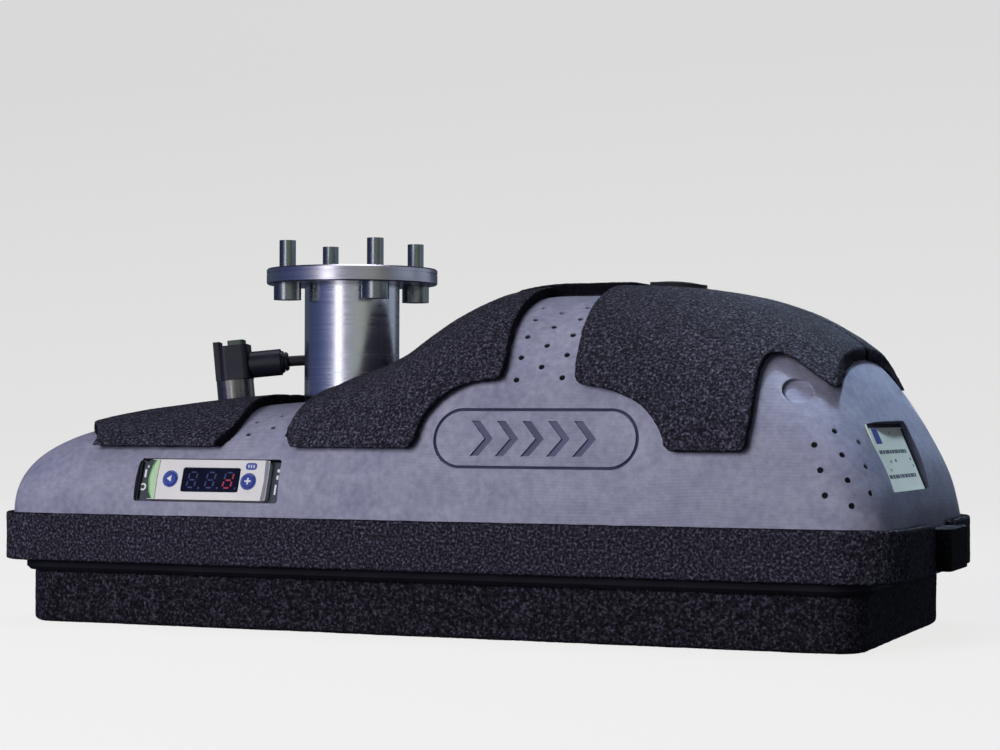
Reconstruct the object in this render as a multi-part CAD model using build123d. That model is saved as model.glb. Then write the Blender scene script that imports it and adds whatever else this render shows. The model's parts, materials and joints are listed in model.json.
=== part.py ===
from build123d import *
import math
import os

# ----------------------------------------------------------------------------
# Vacuum area gripper with foam pads for a small robot arm.
# X runs along the long side, Y is the depth (front at -Y), Z is up.
# The origin is the centre of the foam mat's underside. Millimetres.
# ----------------------------------------------------------------------------

# suction mat and base plate
MAT_L, MAT_W, MAT_R, MAT_H = 305.0, 130.0, 12.0, 18.4
PLATE_GROW = 3.0
PLATE_Z0, PLATE_Z1 = 18.4, 22.0
CELL_R, CELL_PITCH_X, CELL_PITCH_Y = 5.0, 22.0, 22.0
CELL_NX, CELL_NY = 13, 5
ORIFICE_R = 0.9

# housing
HALF_L, HALF_W, PLAN_R = 161.3, 68.5, 17.0
SKIRT_Z0, SKIRT_Z1 = 22.0, 38.0
SECTION_POWER = 2.6
END_BULGE = 2.0
WALL = 2.6
PAD_GAP, PAD_T = 0.1, 3.6
SPINE_T, PLUG_T = 4.6, 4.0
VENT_R = 1.0
# stations along the body: x, ridge height, half width in plan
STATIONS = [(-161.3, 22, 27), (-161.3, 30, 36), (-161.3, 37.5, 44.5), (-161.3, 45, 51.5),
            (-160.93, 52, 55.0), (-159.7, 57.5, 58.7), (-157.3, 61.6, 62.4), (-152.8, 65.4, 66.2),
            (-144.3, 69.0, 68.5), (-130, 72.2, 68.5), (-112, 74.7, 68.5), (-92, 76.9, 68.5),
            (-75, 78.2, 68.5), (-60, 79.4, 68.5), (-46, 82.2, 68.5), (-36, 86.0, 68.5),
            (-24, 90.2, 68.5), (-12, 96.4, 68.5), (0, 105.2, 68.5), (9, 110.2, 68.5),
            (18, 113.8, 68.5), (31, 115.8, 68.5), (46, 116.0, 68.5), (62, 115.9, 68.5),
            (78, 114.9, 68.5), (91, 113.3, 68.5), (107, 110, 68.5), (121, 104.8, 68.5),
            (132, 98.2, 68.5), (139, 92.2, 68.5), (144.3, 85.2, 68.5), (149, 77.5, 67.84),
            (152.8, 70.3, 66.2), (157.3, 60, 62.4), (159.7, 50.5, 58.7), (160.93, 42.5, 55.0),
            (161.3, 36, 50.5), (161.3, 31.5, 43), (161.3, 27, 35), (161.3, 22, 27)]

# emblem outline on the front, and the flat pocket of the rating label
EMBLEM_L, EMBLEM_H, GROOVE = 72.0, 20.0, 1.1
DIMPLE_T = 1.6
LABEL_L, LABEL_H = 45.0, 24.0
LABEL_AT, LABEL_OUT = (155.1, -26.0, 60.7), (0.92, -0.03, 0.39)

# bumper band and end blocks
BAND_T, BAND_Z1 = 2.7, 39.0
BLOCK_HALF_W, BLOCK_X, BLOCK_Z0, BLOCK_Z1 = 14.4, 171.0, 23.2, 37.3

# robot adapter (ISO 9409-1-50 pattern)
TUBE_X, TUBE_OD, TUBE_ID = -53.0, 35.0, 28.0
FLANGE_D, FLANGE_Z0, FLANGE_T = 63.0, 121.9, 5.8
CENTRING_D, CENTRING_T = 31.5, 1.0
PCD, SCREW_R, SCREW_NECK_R, SCREW_HEAD_R, SCREW_HEAD_H, STUD_OUT = 50.0, 3.0, 2.6, 5.0, 6.0, 10.0

# display
DISP_X, DISP_Z, DISP_TILT = -76.4, 51.4, 18.0
DISP_L, DISP_H = 56.6, 15.4

# electrical connector on the roof
CON_X, CON_Y, CON_TILT, CON_TURN = -102.4, 3.0, 6.0, 20.0
BARREL_L, COLLAR_L = 18.2, 2.6
CABLE_R = 2.0

# push-in air fitting on the rear wall
AIR_X, AIR_Z = -96.0, 51.0


# ----------------------------------------------------------------------------
# housing surface
# ----------------------------------------------------------------------------
def sample_line(pts, m):
    dim = len(pts[0])
    p = [tuple(2 * pts[0][k] - pts[1][k] for k in range(dim))] + [tuple(q) for q in pts]
    p.append(tuple(2 * pts[-1][k] - pts[-2][k] for k in range(dim)))
    out = []
    for i in range(1, len(p) - 2):
        p0, p1, p2, p3 = p[i - 1:i + 3]
        t0 = 0.0
        t1 = t0 + math.dist(p0, p1) ** 0.5
        t2 = t1 + math.dist(p1, p2) ** 0.5
        t3 = t2 + math.dist(p2, p3) ** 0.5
        for k in range(m):
            t = t1 + (t2 - t1) * k / m

            def mix(a, b, ta, tb):
                return tuple((tb - t) / (tb - ta) * u + (t - ta) / (tb - ta) * v for u, v in zip(a, b))
            a1, a2, a3 = mix(p0, p1, t0, t1), mix(p1, p2, t1, t2), mix(p2, p3, t2, t3)
            b1, b2 = mix(a1, a2, t0, t2), mix(a2, a3, t1, t3)
            out.append(mix(b1, b2, t1, t2))
    out.append(tuple(pts[-1]))
    return out


def even_line(pts, step):
    run = [0.0]
    for a, b in zip(pts, pts[1:]):
        run.append(run[-1] + math.dist(a, b))
    n = max(2, round(run[-1] / step))
    out, j = [], 0
    for k in range(n + 1):
        s = run[-1] * k / n
        while j < len(run) - 2 and run[j + 1] < s:
            j += 1
        f = min(1.0, max(0.0, (s - run[j]) / (run[j + 1] - run[j])))
        out.append(tuple(a + (b - a) * f for a, b in zip(pts[j], pts[j + 1])))
    return out


STATIONS_FINE = sample_line(STATIONS, 10)


def ridge_h(x):
    for (xa, za, _), (xb, zb, _) in zip(STATIONS_FINE, STATIONS_FINE[1:]):
        if xb > xa and xa <= x <= xb:
            return za + (zb - za) * (x - xa) / (xb - xa)
    return 38.0


def half_width(x):
    d = abs(x) - (HALF_L - PLAN_R)
    if d <= 0:
        return HALF_W
    return HALF_W - PLAN_R + math.sqrt(max(0.0, PLAN_R ** 2 - min(d, PLAN_R) ** 2))


def skirt_top(h):
    return SKIRT_Z0 + (SKIRT_Z1 - SKIRT_Z0) * min(1.0, (h - SKIRT_Z0) / 40.0)


def warp(x, y):
    return x + math.copysign(END_BULGE, x) * abs(x / HALF_L) ** 8 * (1 - min(1.0, (y / HALF_W) ** 2))


def section_line(h, w, n):
    zb = skirt_top(h)
    dense = [(-w, SKIRT_Z0)]
    for i in range(361):
        th = -math.pi / 2 + math.pi * i / 360
        s, c = math.sin(th), max(0.0, math.cos(th))
        y = math.copysign(abs(s) ** (2 / SECTION_POWER), s)
        dense.append((w * y, zb + (h - zb) * c ** (2 / SECTION_POWER)))
    dense.append((w, SKIRT_Z0))
    run = [0.0]
    for a, b in zip(dense, dense[1:]):
        run.append(run[-1] + math.dist(a, b))
    out, j = [], 0
    for k in range(n):
        s = run[-1] * k / (n - 1)
        while j < len(run) - 2 and run[j + 1] < s:
            j += 1
        d = run[j + 1] - run[j]
        f = 0 if d == 0 else (s - run[j]) / d
        f = min(1.0, max(0.0, f))
        out.append((dense[j][0] + (dense[j + 1][0] - dense[j][0]) * f,
                    dense[j][1] + (dense[j + 1][1] - dense[j][1]) * f))
    return out


N_ACROSS = 45
GRID = []
for gx, gh, gw in even_line(STATIONS_FINE, 5.0):
    gx = max(-HALF_L, min(HALF_L, gx))
    GRID.append([(warp(gx, y), y, z) for y, z in section_line(gh, gw, N_ACROSS)])


def grid_normal(i, j):
    ia, ib = max(0, i - 1), min(len(GRID) - 1, i + 1)
    ja, jb = max(0, j - 1), min(N_ACROSS - 1, j + 1)
    u = [b - a for a, b in zip(GRID[ia][j], GRID[ib][j])]
    v = [b - a for a, b in zip(GRID[i][ja], GRID[i][jb])]
    n = [u[1] * v[2] - u[2] * v[1], u[2] * v[0] - u[0] * v[2], u[0] * v[1] - u[1] * v[0]]
    edge = i in (0, len(GRID) - 1) or j in (0, N_ACROSS - 1)
    if edge:
        n[2] = 0.0
    length = math.sqrt(sum(c * c for c in n)) or 1.0
    n = [c / length for c in n]
    x, y, z = GRID[i][j]
    if n[0] * x / HALF_L + n[1] * y / HALF_W + n[2] * (z - 21) / 60 < 0:
        n = [-c for c in n]
    return n


def body_solid(off):
    rows = []
    for i, row in enumerate(GRID):
        rows.append([])
        for j, p in enumerate(row):
            n = grid_normal(i, j)
            q = [p[k] + off * n[k] for k in range(3)]
            if i in (0, len(GRID) - 1) or j in (0, N_ACROSS - 1):
                q[2] = SKIRT_Z0
            rows[-1].append(Vector(*q))
    dome = Face.make_surface_from_array_of_points(rows, tol=0.05, min_deg=3, max_deg=3)
    bottom = Face(dome.outer_wire())
    s = Solid(Shell([dome, bottom]))
    if s.volume < 0:
        s = Solid(s.wrapped.Reversed())
    return s


def surf_f(x, y, z):
    x0 = x - (warp(x, y) - x)
    if abs(x0) >= HALF_L:
        return 1.0
    h = ridge_h(x0)
    zb, w = skirt_top(h), half_width(x0)
    return (abs(y) / w) ** SECTION_POWER + (max(0.0, z - zb) / (h - zb)) ** SECTION_POWER - 1


def surface_y(x, z):
    lo, hi = 0.0, HALF_W + 4
    for _ in range(40):
        m = (lo + hi) / 2
        if surf_f(x, m, z) < 0:
            lo = m
        else:
            hi = m
    return lo


def surface_normal(x, y, z):
    e = 0.15
    n = Vector(surf_f(x + e, y, z) - surf_f(x - e, y, z), surf_f(x, y + e, z) - surf_f(x, y - e, z),
               surf_f(x, y, z + e) - surf_f(x, y, z - e))
    return n.normalized()


def seat(x, z, side=-1):
    y = surface_y(x, z)
    n = surface_normal(x, y, z)
    p, n = Vector(x, side * y, z), Vector(n.X, side * n.Y, n.Z)
    return Plane(origin=p, z_dir=n, x_dir=Vector(1, 0, -n.X / n.Z if abs(n.Z) > 0.3 else 0).normalized()
                 if abs(n.Z) > 0.3 else Vector(1, -n.X / n.Y, 0).normalized())


# ----------------------------------------------------------------------------
# small helpers
# ----------------------------------------------------------------------------
LOW = (Align.CENTER, Align.CENTER, Align.MIN)


def cyl(r, h, x=0, y=0, z=0):
    return Pos(x, y, z) * Cylinder(r, h, align=LOW)


def box(x0, x1, y0, y1, z0, z1):
    return Pos((x0 + x1) / 2, (y0 + y1) / 2, (z0 + z1) / 2) * Box(x1 - x0, y1 - y0, z1 - z0)


def ring(r0, r1, h, x=0, y=0, z=0):
    return cyl(r1, h, x, y, z) - cyl(r0, h, x, y, z)


def xz_prism(wire_pts, y0, y1):
    face = make_face(Polyline(*[(x, 0, z) for x, z in wire_pts], close=True))
    return Pos(0, y0, 0) * extrude(face, amount=y1 - y0, dir=(0, 1, 0))


def xy_prism(pts, z0, z1):
    face = make_face(Polyline(*[(x, y, 0) for x, y in pts], close=True))
    return Pos(0, 0, z0) * extrude(face, amount=z1 - z0, dir=(0, 0, 1))


def smooth_line(pts, n=4):
    return sample_line(pts, n)


def solids_of(s):
    return s.solids() if hasattr(s, "solids") else [s]


def save(name, shape):
    os.makedirs("parts", exist_ok=True)
    parts = solids_of(shape)
    out = parts[0] if len(parts) == 1 else Compound(children=[Solid(p.wrapped) for p in parts])
    out.label = name
    export_step(out, f"parts/{name}.step")
    print(name, len(parts), round(sum(p.volume for p in parts), 1))



# ----------------------------------------------------------------------------
# body volumes
# ----------------------------------------------------------------------------
OUTER = body_solid(0.0)
INNER = body_solid(-WALL)
SKIN_IN = body_solid(-0.7)
GLUE = body_solid(PAD_GAP)
FOAM = body_solid(PAD_T)
print("volumes", [(round(v.volume), v.is_valid) for v in (OUTER, INNER, SKIN_IN, GLUE, FOAM)])


def plan_outline(grow):
    pts = []
    n_arc, n_end, n_side = 10, 14, 24
    corner_y, corner_x = HALF_W - PLAN_R, HALF_L - PLAN_R
    for i in range(n_end):
        y = -corner_y + 2 * corner_y * i / n_end
        pts.append((HALF_L, y, 1, 0))
    for i in range(n_arc):
        t = math.pi / 2 * i / n_arc
        pts.append((corner_x + PLAN_R * math.cos(t), corner_y + PLAN_R * math.sin(t), math.cos(t), math.sin(t)))
    for i in range(n_side):
        pts.append((corner_x - 2 * corner_x * i / n_side, HALF_W, 0, 1))
    half = [(warp(x, y) + nx * grow, y + ny * grow) for x, y, nx, ny in pts]
    left = []
    for i in range(n_arc):
        t = math.pi / 2 + math.pi / 2 * i / n_arc
        left.append((-corner_x + PLAN_R * math.cos(t), corner_y + PLAN_R * math.sin(t), math.cos(t), math.sin(t)))
    for i in range(n_end):
        left.append((-HALF_L, corner_y - 2 * corner_y * i / n_end, -1, 0))
    for i in range(n_arc):
        t = math.pi + math.pi / 2 * i / n_arc
        left.append((-corner_x + PLAN_R * math.cos(t), -corner_y + PLAN_R * math.sin(t), math.cos(t), math.sin(t)))
    for i in range(n_side):
        left.append((-corner_x + 2 * corner_x * i / n_side, -HALF_W, 0, -1))
    for i in range(n_arc):
        t = -math.pi / 2 + math.pi / 2 * i / n_arc
        left.append((corner_x + PLAN_R * math.cos(t), -corner_y + PLAN_R * math.sin(t), math.cos(t), math.sin(t)))
    pts = half + [(warp(x, y) + nx * grow, y + ny * grow) for x, y, nx, ny in left]
    return even_line(pts + [pts[0]], 5.0)[:-1]


def rounded_bar(l, w, h, r, x=0, y=0, z=0):
    return Pos(x, y, z) * extrude(RectangleRounded(l, w, r), amount=h)


# ----------------------------------------------------------------------------
# suction mat, base plate
# ----------------------------------------------------------------------------
cells = [(CELL_PITCH_X * (i - (CELL_NX - 1) / 2), CELL_PITCH_Y * (j - (CELL_NY - 1) / 2))
         for i in range(CELL_NX) for j in range(CELL_NY)]
mat = rounded_bar(MAT_L, MAT_W, MAT_H, MAT_R)
mat = chamfer(mat.faces().sort_by(Axis.Z)[0].outer_wire().edges(), 1.2)
mat = mat - Compound(children=[cyl(CELL_R, MAT_H + 2, x, y, -1) for x, y in cells])
save("suction_mat", mat)

FIX = [(sx * x, sy * y) for x, y in ((143, 47), (22, 58)) for sx in (-1, 1) for sy in (-1, 1)]
plate = rounded_bar(MAT_L + 2 * PLATE_GROW, MAT_W + 2 * PLATE_GROW, PLATE_Z1 - PLATE_Z0, MAT_R + PLATE_GROW, z=PLATE_Z0)
plate = chamfer(plate.faces().sort_by(Axis.Z)[0].outer_wire().edges(), 1.3)
plate = plate - Compound(children=[cyl(ORIFICE_R, 6, x, y, PLATE_Z0 - 1) for x, y in cells]
                         + [cyl(2.25, 6, x, y, PLATE_Z0 - 1) for x, y in FIX]
                         + [cyl(4.2, 2.3, x, y, PLATE_Z0 - 0.1) for x, y in FIX])
save("base_plate", plate)

# ----------------------------------------------------------------------------
# display frame of reference, leaning back with the wall
# ----------------------------------------------------------------------------
disp_y = -surface_y(DISP_X, DISP_Z)
t = math.radians(DISP_TILT)
DISP = Plane(origin=(DISP_X, disp_y, DISP_Z), x_dir=(1, 0, 0), z_dir=(0, -math.cos(t), math.sin(t)))
print("display", DISP.origin, DISP.z_dir)


def in_disp(s):
    return DISP.location * s


pocket = in_disp(Pos(0, 0, -4.2) * extrude(RectangleRounded(DISP_L, DISP_H, 1.2), amount=14))
pocket_wall = in_disp(Pos(0, 0, -6.4) * extrude(RectangleRounded(DISP_L + 5, DISP_H + 5, 2.5), amount=12)) & OUTER

# label frame, on the right end
LAB = Plane(origin=LABEL_AT, x_dir=(0.03, 0.92, 0), z_dir=LABEL_OUT)


def in_label(s):
    return LAB.location * s


label_wall = in_label(Pos(0, 0, -2.0) * extrude(RectangleRounded(LABEL_L + 5, LABEL_H + 5, 2.5), amount=8)) & OUTER

# connector frame, square to the sloping roof
roof_z = ridge_h(CON_X)
ct, cn = math.radians(CON_TILT), math.radians(CON_TURN)
CON = Plane(origin=(CON_X, CON_Y, roof_z), z_dir=(-math.sin(ct), 0, math.cos(ct)),
            x_dir=Vector(math.cos(cn) * math.cos(ct), math.sin(cn), math.cos(cn) * math.sin(ct)).normalized())


def in_con(s):
    return CON.location * s


# air fitting frame, square to the rear wall
AIR = seat(AIR_X, AIR_Z, 1)
AIR = Plane(origin=AIR.origin - AIR.z_dir * 1.6, x_dir=AIR.x_dir, z_dir=AIR.z_dir)


def in_air(s):
    return AIR.location * s


# ----------------------------------------------------------------------------
# housing
# ----------------------------------------------------------------------------
shell = OUTER - INNER
rim = Pos(0, 0, SKIRT_Z0) * extrude(make_face(Spline(*[(x, y, 0) for x, y in plan_outline(-1.0)], periodic=True)), amount=3.0)
rim = rim - Pos(0, 0, SKIRT_Z0 - 1) * extrude(RectangleRounded(290, 116, 8), amount=6)
shell = shell + rim
bosses = [cyl(5.0, 48.0 if x > 0 else 40.0, x, y, SKIRT_Z0) for x, y in FIX]
for b in bosses:
    shell = shell + (b & OUTER)
shell = shell + pocket_wall + label_wall
shell = shell - pocket
shell = shell - in_con(Pos(0, 0, -20) * Cylinder(7.0, 40))
shell = shell - cyl(TUBE_OD / 2 + 0.6, 60, TUBE_X, 0, 60)
shell = shell - in_air(Pos(0, 0, -20) * Cylinder(7.15, 50))
shell = shell - cyl(6.0, 20, 73, 0, 105)
shell = shell - Compound(children=[cyl(2.0, 14, x, y, SKIRT_Z0 - 1) for x, y in FIX])

# vents: three staggered columns over the hump, clusters at both ends
VENTS = []
for x, zs in ((36.4, (85.7, 93.2, 100.3, 106.3, 110.6)), (44.4, (90.0, 97.2, 103.6, 108.6)),
              (52.4, (86.4, 94.0, 100.7, 106.3, 110.4))):
    VENTS += [(x, z) for z in zs]
VENTS += [(137.8, 65.1), (140.3, 57.3), (142.1, 49.5), (143.1, 69.4), (146.3, 62.1), (148.7, 54.3), (150.3, 46.4),
          (149.7, 66.0), (152.8, 58.5), (155.1, 50.3)]
VENTS += [(-58.0, 73.6), (-66.2, 71.4), (-57.4, 69.5), (-65.8, 67.1), (-49.6, 67.1)]
pins = []
for x, z in VENTS:
    for side in (-1, 1):
        pl = seat(x, z, side)
        pins.append(pl.location * Pos(0, 0, -5.5) * Cylinder(VENT_R, 9, align=LOW))
shell = shell - Compound(children=pins)

# shallow round mark, engraved emblem and the recess for the rating label
for side in (-1, 1):
    pl = seat(130.4, 82.2, side)
    if side < 0:
        shell = shell - pl.location * Pos(0, 0, -DIMPLE_T) * Cylinder(5.25, 7, align=LOW)


def capsule(l, w, x, z):
    return Plane(origin=(x, 0, z), x_dir=(1, 0, 0), z_dir=(0, -1, 0)) * SlotOverall(l, w)


skin = OUTER - SKIN_IN
emblem = extrude(capsule(EMBLEM_L, EMBLEM_H, 45, 66.4), amount=90)
emblem = emblem - extrude(capsule(EMBLEM_L - 2 * GROOVE, EMBLEM_H - 2 * GROOVE, 45, 66.4), amount=91)
shell = shell - (skin & emblem)
for k in range(5):
    cx = 22.5 + 9.0 * k
    pts = [(cx, 60.6), (cx + 3.0, 60.6), (cx + 8.0, 66.4), (cx + 3.0, 72.2), (cx, 72.2), (cx + 5.0, 66.4)]
    shell = shell - (skin & xz_prism(pts, -90, -30))
label_film = Pos(0, 0, 0.1) * extrude(RectangleRounded(LABEL_L - 0.6, LABEL_H - 0.6, 1.0), amount=0.3)
shell = shell - in_label(extrude(RectangleRounded(LABEL_L, LABEL_H, 1.4), amount=12))
save("housing_shell", shell)

save("rating_label", in_label(label_film))

# ----------------------------------------------------------------------------
# bumper band and end blocks
# ----------------------------------------------------------------------------
band_out = Pos(0, 0, SKIRT_Z0) * extrude(
    make_face(Spline(*[(x, y, 0) for x, y in plan_outline(BAND_T)], periodic=True)), amount=BAND_Z1 - SKIRT_Z0)
band = band_out - GLUE
save("bumper_front", band & box(-200, 200, -100, -BLOCK_HALF_W - 0.1, 0, 60))
save("bumper_rear", band & box(-200, 200, BLOCK_HALF_W + 0.1, 100, 0, 60))
for sx, nm in ((-1, "left"), (1, "right")):
    blk = Pos(sx * (BLOCK_X - 8), 0, BLOCK_Z0) * extrude(RectangleRounded(16, 2 * BLOCK_HALF_W, 1.2), amount=BLOCK_Z1 - BLOCK_Z0)
    save("end_block_" + nm, blk - GLUE)

# ----------------------------------------------------------------------------
# foam pads glued on the housing
# ----------------------------------------------------------------------------
foam = FOAM - GLUE
tube_clear = cyl(20.0, 80, TUBE_X, 0, 60)
a_plan = [(-126.5, -75), (-126.5, -57.5)] + smooth_line([(-127.2, -56), (-132, -48.5), (-138.5, -40), (-143.5, -30),
          (-146, -18), (-147, -1.6)]) + smooth_line([(-77.4, -1.6), (-77.0, -14), (-75.8, -28), (-73.0, -41),
          (-71.0, -52), (-71.6, -57.5), (-74.5, -61.5)]) + [(-75, -75)]
b_low = [(-44.4, 63.0), (0.4, 63.0)] + smooth_line([(1.6, 63.6), (3.3, 66), (4.2, 69.8), (6.0, 74.0), (9.8, 78.6),
        (15, 82.4), (21.8, 84.9), (29, 85.6)]) + smooth_line([(31.6, 86.6), (32.4, 90.5), (31.8, 98.5), (31.0, 106.5), (31.0, 114)]) \
        + [(31.0, 130), (-48.6, 130)] + smooth_line([(-48.6, 79), (-48.6, 73), (-48.0, 68), (-46.0, 64.4)])
c_low = smooth_line([(56.4, 114), (56.6, 103), (57.2, 92), (58.2, 86.2), (60.4, 84.2), (65, 83.4), (71.6, 81.9),
        (80.8, 77.9), (86.6, 72.3), (89.4, 67.6), (90.4, 64.4), (92.4, 62.6)]) + [(114.4, 62.6)] \
        + smooth_line([(116.8, 64.0), (118.0, 73.8), (118.2, 85.3), (118.8, 92.0), (121.0, 94.4), (125, 93.6),
        (133.2, 88.4), (138.8, 84.6)]) + [(141.8, 82.7), (139.8, 92.0), (139.8, 130), (56.4, 130)]
pad_a = foam & xy_prism(a_plan, 63.0, 90)
con_clear = in_con(Pos(0, 0, -10) * Cylinder(10.6, 40, align=LOW))
pad_b = (foam & xz_prism(b_low, -90, -1.5)) - tube_clear - box(13.5, 60, -11.5, 0, 60, 140)
pad_c = (foam & xz_prism(c_low, -90, -1.5)) - box(40, 62.5, -11.5, 0, 60, 140) - cyl(12.0, 30, 73, 0, 105)
pad_top = (body_solid(SPINE_T) - GLUE) & (Pos(38, 0, 90) * extrude(RectangleRounded(45, 19, 3), amount=40))
for nm, p in (("left", pad_a), ("middle", pad_b), ("right", pad_c)):
    p = sorted(solids_of(p), key=lambda q: -q.volume)[0]
    pair = [p, p.mirror(Plane.XZ)]
    if nm == "left":
        pair = [sorted(solids_of(q - con_clear), key=lambda q: -q.volume)[0] for q in pair]
    save("pad_front_" + nm, pair[0])
    save("pad_rear_" + nm, pair[1])
save("pad_top", pad_top)

# round rubber plug on the ridge
pz = ridge_h(73)
plug = cyl(5.6, 6.0, 0, 0, -4.6) + cyl(10.0, PLUG_T, 0, 0, 0.7)
plug = plug + Pos(0, 0, 0.7 + PLUG_T) * (Pos(0, 0, -49.2) * Sphere(50.0) & Cylinder(9.4, 3, align=LOW))
plug = Pos(73, 0, pz) * Rot(0, 3.6, 0) * plug
save("top_plug", plug)

# ----------------------------------------------------------------------------
# display and its buttons
# ----------------------------------------------------------------------------
BTN = [(-13.9 - 0.2, 0.2), (16.6, -0.4)]
frame_box = extrude(RectangleRounded(DISP_L - 0.6, DISP_H - 0.6, 1.0), amount=2.0)
frame_box = Pos(0, 0, -4.1) * frame_box
face = Pos(0.4, 0, -2.0) * extrude(RectangleRounded(47.4, 14.4, 1.6), amount=2.2)
win_l, win_h, win_x = 22.6, 8.8, 1.8
face = face - Pos(win_x, 0, -1.0) * extrude(RectangleRounded(win_l, win_h, 0.8), amount=4)
lens = Pos(-21.0, 0, -1.0) * extrude(RectangleRounded(2.2, 11.0, 1.0), amount=4)
face = face - lens
holes = [Pos(bx, by, -3) * Cylinder(2.55, 8, align=LOW) for bx, by in BTN]
face = face - Compound(children=holes)
save("display_base", in_disp(frame_box))
save("display_face", in_disp(face))
save("display_window", in_disp(Pos(win_x, 0, -0.95) * extrude(RectangleRounded(win_l - 0.2, win_h - 0.2, 0.7), amount=0.9)))
save("status_lens", in_disp(Pos(-21.0, 0, -0.95) * extrude(RectangleRounded(2.0, 10.8, 0.95), amount=1.3)))
for (bx, by), nm in zip(BTN, ("left", "right")):
    b = Cylinder(2.45, 2.1, align=LOW)
    b = fillet(b.edges().sort_by(Axis.Z)[-1], 0.5)
    save("button_" + nm, in_disp(Pos(bx, by, -1.45) * b))
save("display_board", in_disp(Pos(0, 0, -9.2) * Box(50, 13, 1.6)))

# ----------------------------------------------------------------------------
# robot adapter
# ----------------------------------------------------------------------------
SCREWS = [(TUBE_X + PCD / 2 * math.cos(math.radians(a)), PCD / 2 * math.sin(math.radians(a))) for a in (45, 135, 225, 315)]
flange = cyl(FLANGE_D / 2, FLANGE_T, TUBE_X, 0, FLANGE_Z0)
flange = chamfer(flange.edges().filter_by(GeomType.CIRCLE), 0.5)
flange = flange - cyl(CENTRING_D / 2, 5, TUBE_X, 0, FLANGE_Z0 + FLANGE_T - CENTRING_T)
flange = flange - ring(FLANGE_D / 2 - 0.4, FLANGE_D / 2 + 1, 0.5, TUBE_X, 0, FLANGE_Z0 + 3.6)
flange = flange - Compound(children=[cyl(3.2, 10, x, y, FLANGE_Z0 - 1) for x, y in SCREWS])
save("adapter_flange", flange)
tube = ring(TUBE_ID / 2, TUBE_OD / 2, FLANGE_Z0 - 38.0, TUBE_X, 0, 38.0)
save("adapter_tube", tube)
group = []
for x, y in SCREWS:
    head = cyl(SCREW_HEAD_R, SCREW_HEAD_H, x, y, FLANGE_Z0 - SCREW_HEAD_H)
    head = head - Pos(x, y, FLANGE_Z0 - SCREW_HEAD_H) * extrude(RegularPolygon(2.9, 6), amount=3.0)
    group.append(head + cyl(SCREW_NECK_R, FLANGE_T + 0.3, x, y, FLANGE_Z0)
                 + cyl(SCREW_R, STUD_OUT - 0.2, x, y, FLANGE_Z0 + FLANGE_T + 0.2))
save("flange_screws", Compound(children=group))
SOCKET_FIX = [(-23, -21), (-23, 21), (13, -22), (13, 22)]
socket = rounded_bar(56, 52, 26, 6, TUBE_X, 0, 36.0)
socket = socket - cyl(TUBE_OD / 2 + 0.05, 30, TUBE_X, 0, 38.0) - cyl(12, 10, TUBE_X, 0, 34)
socket = socket - box(TUBE_X + 10, TUBE_X + 40, -1.2, 1.2, 38.0, 70)
socket = socket - Pos(TUBE_X + 23, 0, 50) * Rot(90, 0, 0) * Cylinder(2.6, 60)
socket = socket - Pos(TUBE_X + 23, -26, 50) * Rot(90, 0, 0) * Cylinder(4.6, 10)
for x, y in SOCKET_FIX:
    socket = socket - cyl(2.15, 40, TUBE_X + x, y, 30)
save("tube_socket", socket)
save("clamp_screw", Pos(TUBE_X + 23, -21, 50) * Rot(-90, 0, 0) * Cylinder(2.45, 42, align=LOW)
     + Pos(TUBE_X + 23, -26, 50) * Rot(-90, 0, 0) * Cylinder(4.2, 5.0, align=LOW))
save("socket_screws", Compound(children=[cyl(2.0, 34, TUBE_X + x, y, 28.2) + cyl(3.5, 4, TUBE_X + x, y, 62.05)
     for x, y in SOCKET_FIX]))

# ----------------------------------------------------------------------------
# electrical connector: panel socket, coupling nut, elbow, cap
# ----------------------------------------------------------------------------
sock = Pos(0, 0, 0.7) * Cylinder(9.5, 2.3, align=LOW) + Pos(0, 0, -12) * Cylinder(6.8, 13.0, align=LOW)
sock = sock + Pos(0, 0, 2.9) * Cylinder(4.1, 6.0, align=LOW)
save("panel_socket", in_con(sock))
nut = Pos(0, 0, 3.4) * extrude(RegularPolygon(7.2, 12), amount=7.6) - Pos(0, 0, 3.0) * Cylinder(4.25, 9, align=LOW)
nut = nut & Pos(0, 0, 7.2) * (Cylinder(7.0, 7.6) )
save("coupling_nut", in_con(nut))
elbow = Pos(1.05, 0, 11.15) * extrude(RectangleRounded(11.3, 12.8, 2.6), amount=13.0)
elbow = elbow + Pos(0, 0, 16.4) * Rot(0, 90, 0) * Cylinder(5.0, BARREL_L, align=LOW)
elbow = elbow + Pos(-5.4, 0, 11.15) * extrude(RectangleRounded(2.6, 8.0, 0.6), amount=14.85)
save("elbow_body", in_con(elbow))
cap = Pos(1.9, 0, 24.2) * extrude(RectangleRounded(6.2, 9.0, 1.5), amount=1.9)
save("elbow_cap", in_con(cap))
collar = Pos(BARREL_L + 0.05, 0, 16.4) * Rot(0, 90, 0) * Cone(4.4, 3.3, COLLAR_L, align=LOW)
collar = collar - Pos(BARREL_L + 1.4, 0, 16.4) * Rot(0, 90, 0) * (Cylinder(6, 0.6) - Cylinder(3.0, 1))
collar = collar - Pos(BARREL_L + 4, 0, 16.4) * Rot(0, 90, 0) * Cylinder(CABLE_R + 0.02, 12)
save("cable_collar", in_con(collar))

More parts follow.
